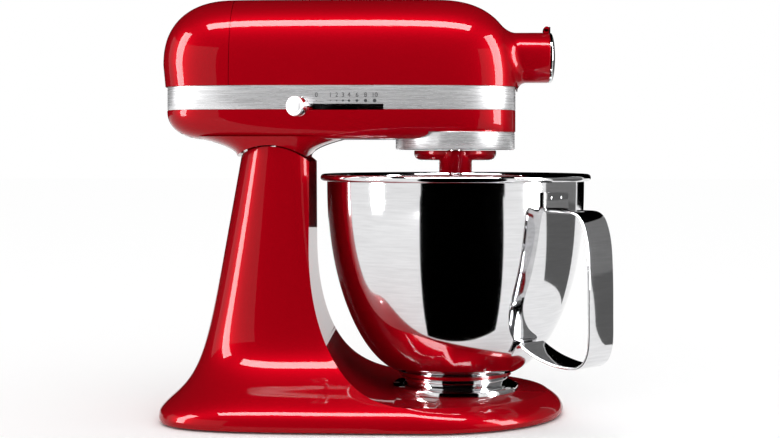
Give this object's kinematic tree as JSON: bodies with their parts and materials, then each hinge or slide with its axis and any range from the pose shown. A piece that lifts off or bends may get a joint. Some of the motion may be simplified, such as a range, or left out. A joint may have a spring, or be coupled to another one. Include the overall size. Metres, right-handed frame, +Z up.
{
  "type": "stand mixer",
  "caption": "Tilt-head stand mixer with a hollow cast stand, gear-driven planetary beater, power take-off hub, speed and lock levers, and a twist-lock steel bowl with a strip handle.",
  "frame": {"origin": "middle of the whole length and width, on the surface the feet rest on", "axes": "+X forward towards the power hub, +Y to the lock lever side, +Z up"},
  "size_m": [0.3297, 0.2082, 0.3119],
  "materials": {
    "red_enamel": "candy-apple red enamel, high gloss",
    "satin_silver": "satin",
    "polished_steel": "mirror polished stainless steel",
    "chrome": "bright chrome",
    "gear_steel": "machined",
    "bronze": "sintered bronze",
    "copper": "enamelled copper winding",
    "black_plastic": "moulded",
    "rubber": "matt",
    "board": "circuit board",
    "coated_aluminium": "burnished",
    "cast_aluminium": "as cast"
  },
  "bodies": {
    "stand": {"pedestal_base": "red_enamel", "base_bottom_plate": "black_plastic", "rubber_feet": "rubber", "bowl_clamp_plate": "polished_steel", "clamp_plate_screws": "gear_steel", "hinge_pin": "gear_steel", "hinge_pin_screw": "gear_steel", "lock_strike": "gear_steel"},
    "head": {"motor_housing": "red_enamel", "rear_cover": "red_enamel", "rear_cover_screw": "gear_steel", "trim_band": "satin_silver", "lower_housing": "red_enamel", "hinge_bushes": "bronze", "drip_ring": "satin_silver", "ring_gear": "gear_steel", "hub_housing": "red_enamel", "hub_cover_pin": "gear_steel", "gear_bracket": "cast_aluminium", "housing_screws": "gear_steel", "cord_inlet_bush": "black_plastic", "lever_pivot_pins": "gear_steel", "motor_stator": "gear_steel", "field_coils": "copper", "rear_motor_bearing": "cast_aluminium", "brush_holders": "black_plastic", "carbon_brushes": "rubber", "control_board": "board", "speed_plate": "gear_steel"},
    "armature": {"armature_shaft": "gear_steel", "armature_core": "gear_steel", "worm": "gear_steel", "commutator": "copper", "cooling_fan": "black_plastic"},
    "worm_shaft": {"worm_wheel": "bronze", "pinion_shaft": "gear_steel"},
    "planetary": {"centre_shaft": "gear_steel", "centre_gear": "gear_steel", "centre_bevel_gear": "gear_steel", "planetary_hub": "red_enamel"},
    "beater": {"planet_pinion": "gear_steel", "beater_shaft": "chrome", "beater_pin": "gear_steel", "flat_beater": "coated_aluminium"},
    "hub_drive": {"hub_shaft": "gear_steel", "hub_bevel_gear": "gear_steel"},
    "hub_cover": {"hub_cover": "chrome"},
    "hub_screw": {"hub_thumb_screw": "black_plastic"},
    "speed_lever": {"speed_lever": "black_plastic", "speed_lever_knob": "chrome"},
    "lock_lever": {"lock_lever": "black_plastic", "lock_lever_knob": "chrome"},
    "lock_bolt": {"lock_bolt": "gear_steel"},
    "bowl": {"bowl": "polished_steel", "bowl_handle": "polished_steel"}
  },
  "joints": [
    {"name": "head_tilt", "type": "hinge", "parent": "stand", "child": "head", "pos_m": [-0.08188, 0, 0.156], "axis": [0, -1, 0], "range_deg": [0, 35]},
    {"name": "planetary_spin", "type": "hinge", "parent": "head", "child": "planetary", "pos_m": [0.05562, 0, 0.2], "axis": [0, 0, 1], "continuous": true},
    {"name": "beater_spin", "type": "hinge", "parent": "planetary", "child": "beater", "pos_m": [0.05562, -0.02, 0.2], "axis": [0, 0, 1], "continuous": true},
    {"name": "worm_wheel_spin", "type": "hinge", "parent": "head", "child": "worm_shaft", "pos_m": [0.0252, 0.024, 0.23], "axis": [0, 0, 1], "continuous": true},
    {"name": "armature_spin", "type": "hinge", "parent": "head", "child": "armature", "pos_m": [-0.04438, 0, 0.258], "axis": [1, 0, 0], "continuous": true},
    {"name": "hub_drive_spin", "type": "hinge", "parent": "head", "child": "hub_drive", "pos_m": [0.08562, 0, 0.2677], "axis": [1, 0, 0], "continuous": true},
    {"name": "hub_cover_hinge", "type": "hinge", "parent": "head", "child": "hub_cover", "pos_m": [0.12432, 0, 0.289], "axis": [0, -1, 0], "range_deg": [0, 110]},
    {"name": "hub_screw_turn", "type": "hinge", "parent": "head", "child": "hub_screw", "pos_m": [0.11092, 0.03, 0.2677], "axis": [0, 1, 0], "range_deg": [0, 270]},
    {"name": "speed_lever_hinge", "type": "hinge", "parent": "head", "child": "speed_lever", "pos_m": [-0.02538, 0, 0.2294], "axis": [0, 0, 1], "range_deg": [0, 54]},
    {"name": "lock_lever_hinge", "type": "hinge", "parent": "head", "child": "lock_lever", "pos_m": [-0.03638, 0.016, 0.2294], "axis": [0, 0, -1], "range_deg": [0, 30]},
    {"name": "lock_bolt_slide", "type": "slide", "parent": "head", "child": "lock_bolt", "axis": [1, 0, 0], "range_m": [0, 0.0091]},
    {"name": "bowl_twist", "type": "hinge", "parent": "stand", "child": "bowl", "pos_m": [0.05562, 0, 0.02], "axis": [0, 0, 1], "range_deg": [0, 25]}
  ],
  "couplings": [
    {"joint": "beater_spin", "follows": "planetary_spin", "ratio": -2.5385},
    {"joint": "worm_wheel_spin", "follows": "planetary_spin", "ratio": -4.1667},
    {"joint": "armature_spin", "follows": "planetary_spin", "ratio": 58.333},
    {"joint": "hub_drive_spin", "follows": "planetary_spin", "ratio": 1.4286},
    {"joint": "lock_bolt_slide", "follows": "lock_lever_hinge", "m_per_rad": 0.017189}
  ]
}
